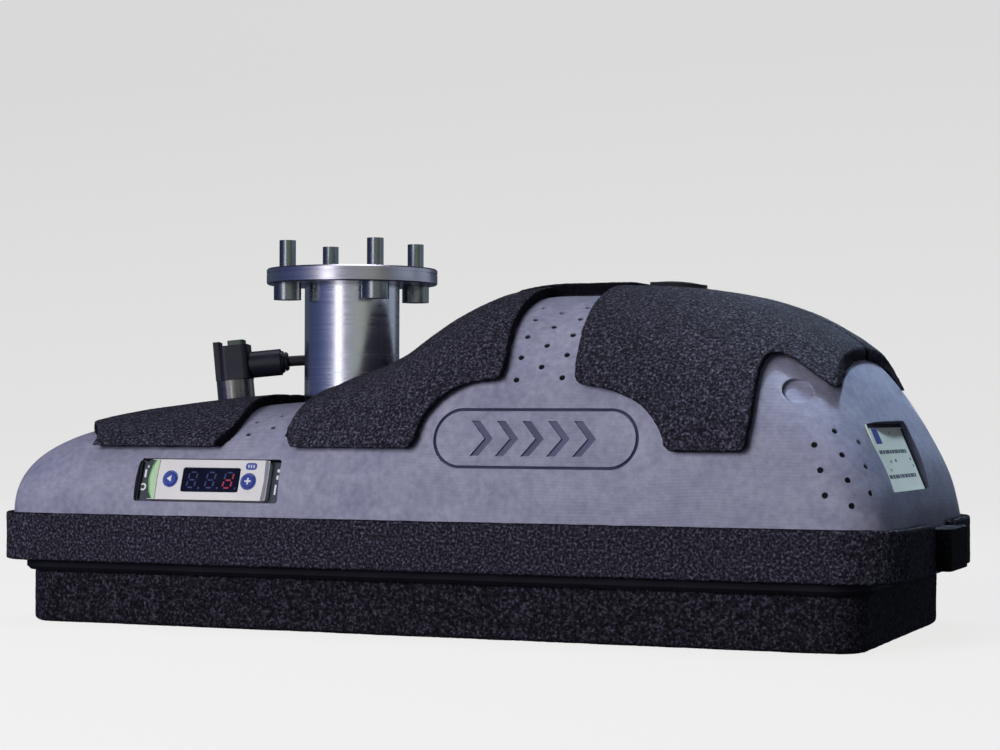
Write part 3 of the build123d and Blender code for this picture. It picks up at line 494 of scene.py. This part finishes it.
# ---------------------------------------------------------------------------
# painted and printed details
# ---------------------------------------------------------------------------
def plate_piece(name, mt, outline, z0, z1, mat, body, holes=()):
    """A thin plate of that outline (mm, in the frame mt) from z0 to z1, closed all round."""
    bm = bmesh.new()
    vs = [bm.verts.new((x * MM, y * MM, z0 * MM)) for x, y in outline]
    f = bm.faces.new(vs)
    ex = bmesh.ops.extrude_face_region(bm, geom=[f])
    bmesh.ops.translate(bm, vec=(0, 0, (z1 - z0) * MM), verts=[g for g in ex["geom"] if isinstance(g, bmesh.types.BMVert)])
    bmesh.ops.triangulate(bm, faces=bm.faces[:])
    bmesh.ops.recalc_face_normals(bm, faces=bm.faces[:])
    bmesh.ops.transform(bm, matrix=mt, verts=bm.verts[:])
    me = bpy.data.meshes.new(name)
    bm.to_mesh(me)
    bm.free()
    o = add(name, me, mat, body, smooth=False)
    return o


def joined(name, pieces):
    """Several plates as one piece."""
    bm = bmesh.new()
    mat, body, slot = pieces[0][3], pieces[0][4], pieces[0][5]
    for mt, outline, (z0, z1), _, _, _ in pieces:
        one = bmesh.new()
        f = one.faces.new([one.verts.new((x * MM, y * MM, z0 * MM)) for x, y in outline])
        ex = bmesh.ops.extrude_face_region(one, geom=[f])
        bmesh.ops.translate(one, vec=(0, 0, (z1 - z0) * MM), verts=[g for g in ex["geom"] if isinstance(g, bmesh.types.BMVert)])
        bmesh.ops.triangulate(one, faces=one.faces[:])
        bmesh.ops.recalc_face_normals(one, faces=one.faces[:])
        bmesh.ops.transform(one, matrix=mt, verts=one.verts[:])
        tmp = bpy.data.meshes.new("tmp")
        one.to_mesh(tmp)
        one.free()
        bm.from_mesh(tmp)
        bpy.data.meshes.remove(tmp)
    me = bpy.data.meshes.new(name)
    bm.to_mesh(me)
    bm.free()
    o = add(name, me, mat, body, smooth=False)
    return o


def rect(x, y, w, h, r=0.0, n=5):
    if r <= 0:
        return [(x - w / 2, y - h / 2), (x + w / 2, y - h / 2), (x + w / 2, y + h / 2), (x - w / 2, y + h / 2)]
    out = []
    for cx, cy, a0 in ((x + w / 2 - r, y - h / 2 + r, -90), (x + w / 2 - r, y + h / 2 - r, 0),
                       (x - w / 2 + r, y + h / 2 - r, 90), (x - w / 2 + r, y - h / 2 + r, 180)):
        out += [(cx + r * math.cos(math.radians(a0 + 90 * i / n)), cy + r * math.sin(math.radians(a0 + 90 * i / n)))
                for i in range(n + 1)]
    return out


def disc(x, y, r, n=28):
    return [(x + r * math.cos(2 * math.pi * i / n), y + r * math.sin(2 * math.pi * i / n)) for i in range(n)]


def arc_x(y, mid, end, half=7.1):
    """x of a shallow arc that bulges to the left: mid at the centre line, end at the top and bottom."""
    return mid + (end - mid) * (y / half) ** 2


G = "gripper"
ys = [-7.0 + 14.0 * i / 20 for i in range(21)]
# dark film left of the face, pale light guide along the face's rounded left edge
film = [(-23.25, -7.0)] + [(arc_x(y, -22.5, -20.5), y) for y in ys] + [(-23.25, 7.0)]
plate_piece("display_film_left", DISP, film, 0.205, 0.32, GREY_DARK, G)
guide = [(arc_x(y, -22.45, -20.45), y) for y in ys] + [(arc_x(y, -19.35, -19.1), y) for y in reversed(ys)]
lens_piece = plate_piece("status_light_guide", DISP, guide, 0.205, 0.50, GREEN_PALE, G)
plate_piece("status_light_edge", DISP, [(arc_x(y, -22.55, -20.55), y) for y in ys] + [(arc_x(y, -22.05, -20.1), y) for y in reversed(ys)],
            0.30, 0.56, GREEN, G)
# dark strips along the top and left edge of the display: painted shadow of the recess walls
joined("display_recess_shadow", [(DISP, rect(0.3, 7.42, 53.6, 0.40, 0.15), (-2.05, -0.15), PLATE_BLACK_AND_SHADE, G, "black_plastic"),
                         (DISP, rect(-27.0, 0, 0.40, 13.9, 0.15), (-2.05, -1.2), PLATE_BLACK_AND_SHADE, G, "black_plastic")])
plate_piece("display_face_edge", DISP, [(23.0, -7.1), (23.9, -6.6), (23.9, 6.6), (23.0, 7.1), (22.2, 7.1), (22.7, 0), (22.2, -7.1)], 0.205, 0.34, EDGE_GREY, G)
plate_piece("display_film_right", DISP, rect(23.55, 0, 1.0, 14.0, 0.4), 0.205, 0.30, WHITE, G)
# rings printed round the two buttons, and the small mark over the right one
for bx, by, nm in ((-14.1, 0.2, "left"), (16.6, -0.4, "right")):
    ring_o, ring_i = disc(bx, by, 3.05, 40), disc(bx, by, 2.58, 40)
    bits = []
    for i in range(40):
        j = (i + 1) % 40
        bits.append((DISP, [ring_o[i], ring_o[j], ring_i[j], ring_i[i]], (0.2, 0.24), BLUE_INK, G, "button_blue"))
    joined("button_ring_" + nm, bits)
plate_piece("mark_pill", DISP, rect(17.0, 5.0, 4.4, 2.5, 1.1), 0.2, 0.24, BLUE_INK, G)
joined("mark_pill_dots", [(DISP, rect(16.0 + 1.0 * i, 5.0, 0.45, 1.1, 0.2), (0.24, 0.27), INK_WHITE, G, "display_white") for i in range(3)])
plate_piece("symbol_left", DISP, [(-15.35, 0.2), (-13.55, -0.95), (-13.55, 1.35)], 0.64, 0.69, INK_WHITE, "left_button")
joined("symbol_right", [(DISP, rect(16.6, -0.4, 2.4, 0.62, 0.1), (0.64, 0.69), INK_WHITE, "right_button", "display_white"),
                        (DISP, rect(16.6, 0.35, 0.62, 0.88, 0.1), (0.64, 0.69), INK_WHITE, "right_button", "display_white"),
                        (DISP, rect(16.6, -1.15, 0.62, 0.88, 0.1), (0.64, 0.69), INK_WHITE, "right_button", "display_white")])
# marks on the dark sides of the display
marks = [(DISP, rect(-25.7, 2.7, 0.75, 3.0, 0.3), (-2.11, -2.04), INK_WHITE, G, "display_white"),
         (DISP, rect(-25.0, 5.2, 0.6, 0.9, 0.2), (-2.11, -2.04), INK_WHITE, G, "display_white"),
         (DISP, rect(26.5, 4.2, 1.0, 1.2, 0.4), (-2.11, -2.04), INK_WHITE, G, "display_white"),
         (DISP, rect(26.4, 1.8, 0.8, 1.5, 0.3), (-2.11, -2.04), INK_WHITE, G, "display_white"),
         (DISP, rect(26.2, -2.6, 0.7, 3.6, 0.3), (-2.11, -2.04), INK_WHITE, G, "display_white")]
ro, ri = disc(-26.0, -2.2, 1.35, 24), disc(-26.0, -2.2, 0.75, 24)
marks += [(DISP, [ro[i], ro[(i + 1) % 24], ri[(i + 1) % 24], ri[i]], (-2.11, -2.04), INK_WHITE, G, "display_white") for i in range(24)]
joined("display_side_marks", marks)


def digit(cx, lit, z=(-0.06, -0.015)):
    """Seven bars of a slanted digit: top, upper right, lower right, bottom, lower left, upper left, middle."""
    w, h, t = 1.55, 2.75, 0.27
    on, off = [], []
    sl = math.tan(math.radians(8))
    bars = [("h", 0, h), ("v", w, h / 2), ("v", w, -h / 2), ("h", 0, -h), ("v", -w, -h / 2), ("v", -w, h / 2), ("h", 0, 0)]
    for i, (kind, x, y) in enumerate(bars):
        if kind == "h":
            o = [(x - w + 0.45, y), (x - w + 0.75, y - t), (x + w - 0.75, y - t), (x + w - 0.45, y), (x + w - 0.75, y + t), (x - w + 0.75, y + t)]
        else:
            o = [(x, y - h / 2 + 0.35), (x + t, y - h / 2 + 0.65), (x + t, y + h / 2 - 0.65), (x, y + h / 2 - 0.35), (x - t, y + h / 2 - 0.65), (x - t, y - h / 2 + 0.65)]
        o = [(cx + px + py * sl, py) for px, py in o]
        (on if i in lit else off).append((DISP, o, z, SEG_ON if i in lit else SEG_OFF, G, "window_dark"))
    return on, off


lit_bars, dark_bars = [], []
for cx, lit in ((-5.6, ()), (1.6, ()), (8.6, (1, 2, 3, 4, 6))):
    a_, b_ = digit(cx, lit)
    lit_bars += a_
    dark_bars += b_
dark_bars += [(DISP, disc(cx, -2.9, 0.38, 12), (-0.06, -0.015), SEG_OFF, G, "window_dark") for cx in (-2.6, 4.6, 11.6)]
joined("digit_bars_dark", dark_bars)
joined("digit_bars_lit", lit_bars)

# print on the rating label: a square, two broken rules, a few dots
lab = [(LAB, rect(-14.6, 7.4, 7.2, 5.4, 0.3), (0.4, 0.425), BLUE_INK, G, "button_blue")]
joined("label_square", lab)
rules = []
for y, x0, x1 in ((1.9, -19.5, 15.0), (-6.6, -19.5, 15.0)):
    x = x0
    i = 0
    while x < x1:
        w = (4.6, 3.2, 5.4, 2.6, 3.8)[i % 5]
        rules.append((LAB, rect(x + w / 2, y, w - 0.7, 1.25), (0.4, 0.425), INK_GREY, G, "black_plastic"))
        x += w
        i += 1
for x, y, w in ((-9.5, -1.4, 1.6), (-13.5, -4.3, 1.2), (16.6, -1.0, 1.6), (17.0, -3.4, 1.2), (3.0, 8.4, 0.9), (-3.0, -1.2, 2.2)):
    rules.append((LAB, rect(x, y, w, 0.9), (0.4, 0.425), INK_GREY, G, "black_plastic"))
joined("label_rules", rules)
# dark strips along the top and right of the label: painted shadow of the pocket walls
joined("label_pocket_shadow", [(LAB, rect(0.6, 11.0, 43.2, 1.4), (0.4, 0.46), PLATE_BLACK_AND_SHADE, G, "black_plastic"),
                      (LAB, rect(21.0, -0.9, 1.9, 21.6), (0.4, 0.46), PLATE_BLACK_AND_SHADE, G, "black_plastic")])


def on_shell(x, z):
    hit = shell_bvh.ray_cast(Vector((x * MM, -0.001, z * MM)), Vector((0, -1, 0)))
    last, start = None, Vector((x * MM, -0.2, z * MM))
    hit = shell_bvh.ray_cast(start, Vector((0, 1, 0)))
    return hit[0]


def shade_in_groove(name, quads, mat, lift=0.05, depth=0.30):
    """Painted shade in an engraved line: quads are 2D strips (x, z) laid on the floor of the groove, closed all round.
    """
    bm = bmesh.new()
    for grid in quads:
        rows = []
        for row in grid:
            r_ = []
            for x, z in row:
                p = on_shell(x, z)
                r_.append((bm.verts.new(p + Vector((0, -lift * MM, 0))), bm.verts.new(p + Vector((0, depth * MM, 0)))))
            rows.append(r_)
        n, m_ = len(rows), len(rows[0])
        for i in range(n - 1):
            for j in range(m_ - 1):
                a, b, c, d = rows[i][j], rows[i][j + 1], rows[i + 1][j + 1], rows[i + 1][j]
                bm.faces.new((a[0], b[0], c[0], d[0]))
                bm.faces.new((d[1], c[1], b[1], a[1]))
        for i in range(n - 1):
            for j in (0, m_ - 1):
                a, b = rows[i][j], rows[i + 1][j]
                bm.faces.new((a[0], b[0], b[1], a[1]))
        for j in range(m_ - 1):
            for i in (0, n - 1):
                a, b = rows[i][j], rows[i][j + 1]
                bm.faces.new((b[0], a[0], a[1], b[1]))
    bmesh.ops.remove_doubles(bm, verts=bm.verts[:], dist=1e-6)
    bmesh.ops.recalc_face_normals(bm, faces=bm.faces[:])
    me = bpy.data.meshes.new(name)
    bm.to_mesh(me)
    bm.free()
    o = add(name, me, mat, G, smooth=False)
    return o


# a dark disc in each vent hole: painted shade, seen from outside as the darkness of the inside
VENTS = [(x, z) for x, zs in ((36.4, (85.7, 93.2, 100.3, 106.3, 110.6)), (44.4, (90.0, 97.2, 103.6, 108.6)),
                              (52.4, (86.4, 94.0, 100.7, 106.3, 110.4))) for z in zs]
VENTS += [(137.8, 65.1), (140.3, 57.3), (142.1, 49.5), (143.1, 69.4), (146.3, 62.1), (148.7, 54.3), (150.3, 46.4),
          (149.7, 66.0), (152.8, 58.5), (155.1, 50.3), (-58.0, 73.6), (-66.2, 71.4), (-57.4, 69.5), (-65.8, 67.1), (-49.6, 67.1)]
vent_shade_discs = []
for side in (-1, 1):
    for x, z in VENTS:
        pts_ = []
        for i in range(12):
            a_ = 2 * math.pi * i / 12
            h_ = shell_bvh.ray_cast(Vector(((x + 1.8 * math.cos(a_)) * MM, side * 0.2, (z + 1.8 * math.sin(a_)) * MM)), Vector((0, -side, 0)))
            if h_[0] is not None:
                pts_.append(h_[0])
        if len(pts_) < 8:
            continue
        pa_ = np.array([tuple(q) for q in pts_])
        mid_ = pa_.mean(0)
        nrm_ = np.linalg.svd(pa_ - mid_)[2][2]
        if nrm_[1] * side < 0:
            nrm_ = -nrm_
        vent_shade_discs.append((frame_of(mid_ / MM, nrm_, (1, 0, 0.01)), disc(0, 0, 0.96, 20), (-1.1, -0.55), PLATE_BLACK_AND_SHADE, G, "black_plastic"))
joined("vent_hole_shade", vent_shade_discs)

# dark fills laid on the floor of the emblem's grooves: painted shade of the grooves, darker in the outline, lighter in
# the chevrons
GROOVE_SHADE_LINE = plastic("groove_shadow", (0.040, 0.042, 0.085), 0.7, grain=900, bump=0.15, var=0.15, spec=0.2)
GROOVE_SHADE_FACE = plastic("groove_shade_tone", (0.095, 0.100, 0.165), 0.7, grain=900, bump=0.15, var=0.15, spec=0.2)
CAP_L, CAP_H, CAP_X, CAP_Z, GR = 72.0, 20.0, 45.0, 66.4, 1.1
strips = []
line = []
rr, hs = CAP_H / 2, CAP_L / 2 - CAP_H / 2
for i in range(53):
    line.append((CAP_X - hs + 2 * hs * i / 52, CAP_Z + rr, 0, 1))
for i in range(1, 31):
    t_ = math.pi / 2 - math.pi * i / 30
    line.append((CAP_X + hs + rr * math.cos(t_), CAP_Z + rr * math.sin(t_), math.cos(t_), math.sin(t_)))
for i in range(1, 53):
    line.append((CAP_X + hs - 2 * hs * i / 52, CAP_Z - rr, 0, -1))
for i in range(1, 30):
    t_ = -math.pi / 2 - math.pi * i / 30
    line.append((CAP_X - hs + rr * math.cos(t_), CAP_Z + rr * math.sin(t_), math.cos(t_), math.sin(t_)))
line.append(line[0])
grid = [[(x - nx * 0.10, z - nz * 0.10), (x - nx * (GR - 0.10), z - nz * (GR - 0.10))] for x, z, nx, nz in line]
shade_in_groove("emblem_line_shade", [grid], GROOVE_SHADE_LINE)
chev = []
for k_ in range(5):
    cx = 22.5 + 9.0 * k_
    for z0_, z1_, xa, xb in ((60.6, 66.4, cx, cx + 5.0), (72.2, 66.4, cx, cx + 5.0)):
        rows = []
        for i in range(9):
            f_ = i / 8
            z_ = z0_ + (z1_ - z0_) * f_
            x_ = xa + (xb - xa) * f_
            if i == 0:
                z_ += 0.12 if z0_ < z1_ else -0.12
            rows.append([(x_ + 0.14 + (3.0 - 0.28) * j / 4, z_) for j in range(5)])
        chev.append(rows)
shade_in_groove("emblem_chevron_shade", chev, GROOVE_SHADE_FACE)

# ---------------------------------------------------------------------------
# stage: pale floor that rises into a pale wall, soft studio light
# ---------------------------------------------------------------------------
me = bpy.data.meshes.new("sweep")
prof = [(-3.0, 0.0), (1.1, 0.0)]
prof += [(1.1 + 0.9 * math.sin(a), 0.9 - 0.9 * math.cos(a)) for a in [math.pi / 2 * i / 16 for i in range(1, 17)]] + [(2.0, 3.5)]
vs, fs = [], []
for y, z in prof:
    vs += [(-4, y, z - 0.0002), (4, y, z - 0.0002)]
for i in range(len(prof) - 1):
    fs.append((2 * i, 2 * i + 1, 2 * i + 3, 2 * i + 2))
me.from_pydata(vs, [], fs)
me.polygons.foreach_set("use_smooth", [True] * len(me.polygons))
sweep = bpy.data.objects.new("sweep", me)
scene.collection.objects.link(sweep)
k = Mat("sweep_paper")
sep = k.t.nodes.new("ShaderNodeSeparateXYZ")
k.link(k.co, sep.inputs[0])
# the paper's brightness is painted in as emission: lighter on the floor, darker up the wall, as the lights fall on it
backdrop_painted_light = k.ramp(k.remap(k.math("ADD", sep.outputs["Z"], k.math("MULTIPLY", sep.outputs["Y"], 0.12)), -0.12, 0.75, 0.0, 1.0),
              [(0.0, (0.825, 0.822, 0.818)), (0.40, (0.742, 0.738, 0.733)), (1.0, (0.670, 0.666, 0.661))])
k.link(backdrop_painted_light, k.b.inputs["Emission Color"])
k.set(Roughness=0.9, Specular_IOR_Level=0.0, Emission_Strength=1.0)
k.b.inputs["Base Color"].default_value = (0.13, 0.13, 0.13, 1)
me.materials.append(k.m)
sweep.visible_diffuse = False
sweep.visible_glossy = False

world = bpy.data.worlds.new("studio") if scene.world is None else scene.world
scene.world = world
world.use_nodes = True
wt = world.node_tree
for n in list(wt.nodes):
    wt.nodes.remove(n)
w_out = wt.nodes.new("ShaderNodeOutputWorld")
w_bg = wt.nodes.new("ShaderNodeBackground")
w_tc = wt.nodes.new("ShaderNodeTexCoord")
w_sep = wt.nodes.new("ShaderNodeSeparateXYZ")
w_neg = wt.nodes.new("ShaderNodeMath")
w_neg.operation = "MULTIPLY"
w_neg.inputs[1].default_value = -1.0
w_atan = wt.nodes.new("ShaderNodeMath")
w_atan.operation = "ARCTAN2"
w_map = wt.nodes.new("ShaderNodeMapRange")
for nm_, v_ in (("From Min", -math.pi), ("From Max", math.pi), ("To Min", 0.0), ("To Max", 1.0)):
    w_map.inputs[nm_].default_value = v_
w_ramp = wt.nodes.new("ShaderNodeValToRGB")
room = [(-180, (.06, .075, .10)), (-108, (.07, .09, .13)), (-94, (.05, .06, .12)), (-60, (.06, .08, .19)),
        (-40, (.12, .145, .31)), (-24, (.31, .32, .47)), (14, (.36, .36, .46)), (24, (.38, .40, .41)), (56, (.38, .41, .37)),
        (66, (.20, .19, .17)), (78, (.20, .22, .25)), (100, (.38, .44, .54)), (113, (.42, .49, .60)), (121, (.08, .09, .12)),
        (129, (.34, .39, .48)), (148, (.38, .42, .52)), (159, (.05, .065, .09))]
els = w_ramp.color_ramp.elements
while len(els) < len(room):
    els.new(0.5)
for e_, (deg, c_) in zip(els, room):
    e_.position, e_.color = (deg + 180) / 360, (*c_, 1)
w_high = wt.nodes.new("ShaderNodeValToRGB")
eh = w_high.color_ramp.elements
while len(eh) < 4:
    eh.new(0.5)
for e_, (pz_, v_) in zip(eh, ((0.40, 0.0), (0.46, 1.0), (0.56, 1.0), (0.63, 0.0))):
    e_.position, e_.color = pz_, (v_, v_, v_, 1)
w_half = wt.nodes.new("ShaderNodeMapRange")
for nm_, v_ in (("From Min", -1.0), ("From Max", 1.0), ("To Min", 0.0), ("To Max", 1.0)):
    w_half.inputs[nm_].default_value = v_
w_mix = wt.nodes.new("ShaderNodeMix")
w_mix.data_type = "RGBA"
w_mix.inputs[6].default_value = (0.028, 0.034, 0.052, 1)
wt.links.new(w_tc.outputs["Generated"], w_sep.inputs[0])
wt.links.new(w_sep.outputs["Y"], w_neg.inputs[0])
wt.links.new(w_sep.outputs["X"], w_atan.inputs[0])
wt.links.new(w_neg.outputs[0], w_atan.inputs[1])
wt.links.new(w_atan.outputs[0], w_map.inputs["Value"])
wt.links.new(w_map.outputs["Result"], w_ramp.inputs["Fac"])
wt.links.new(w_sep.outputs["Z"], w_half.inputs["Value"])
wt.links.new(w_half.outputs["Result"], w_high.inputs["Fac"])
wt.links.new(w_high.outputs["Color"], w_mix.inputs[0])
wt.links.new(w_ramp.outputs["Color"], w_mix.inputs[7])
wt.links.new(w_mix.outputs[2], w_bg.inputs["Color"])
wt.links.new(w_bg.outputs[0], w_out.inputs["Surface"])


def area(name, azimuth, elevation, dist, target, size, size_y, level, colour=(1, 1, 1), diffuse=True, glossy=True):
    """A softbox: azimuth from the front towards +X, level is the light that it gives a white card facing it."""
    d = bpy.data.lights.new(name, "AREA")
    d.shape = "RECTANGLE"
    d.size, d.size_y = size, size_y
    d.energy, d.color = level * math.pi ** 2 * dist ** 2, colour
    o = bpy.data.objects.new(name, d)
    scene.collection.objects.link(o)
    az, el = math.radians(azimuth), math.radians(elevation)
    target = Vector(target)
    o.location = target + Vector((math.sin(az) * math.cos(el), -math.cos(az) * math.cos(el), math.sin(el))) * dist
    o.rotation_euler = (target - o.location).to_track_quat("-Z", "Y").to_euler()
    o.visible_diffuse, o.visible_glossy = diffuse, glossy
    return o


MID = (0, 0, 0.06)
area("key_front", -19, 16, 1.6, MID, 0.8, 0.8, 0.83, (1.0, 0.975, 1.0), glossy=False)
area("key_sheen", -7, 12, 1.5, (-0.053, 0, 0.07), 0.46, 1.3, 0.16, (1.0, 0.985, 1.0), diffuse=False)
area("fill_left", -60, 20, 1.5, MID, 0.9, 0.9, 0.05, (0.70, 0.82, 1.0), glossy=False)
back = area("fill_back", 178, 22, 1.6, MID, 0.9, 0.9, 0.22, (0.86, 0.92, 1.0), glossy=False)
area("top_cool", -150, 78, 1.4, (0.03, 0, 0.06), 0.7, 0.7, 0.24, (0.84, 0.85, 1.0))
end_cool = area("end_cool", -150, 76, 0.9, (0.172, 0, 0.075), 0.12, 0.12, 0.0155, (0.66, 0.84, 1.0))
end_cool.data.spread = math.radians(13)

# the small cool light is for the end of the housing only, not for the floor
lit = bpy.data.collections.new("lit_by_end_cool")
for o in scene.objects:
    if o.type in ("MESH", "CURVE") and o is not sweep:
        lit.objects.link(o)
end_cool.light_linking.receiver_collection = lit
back.light_linking.receiver_collection = lit

bpy.context.view_layer.update()
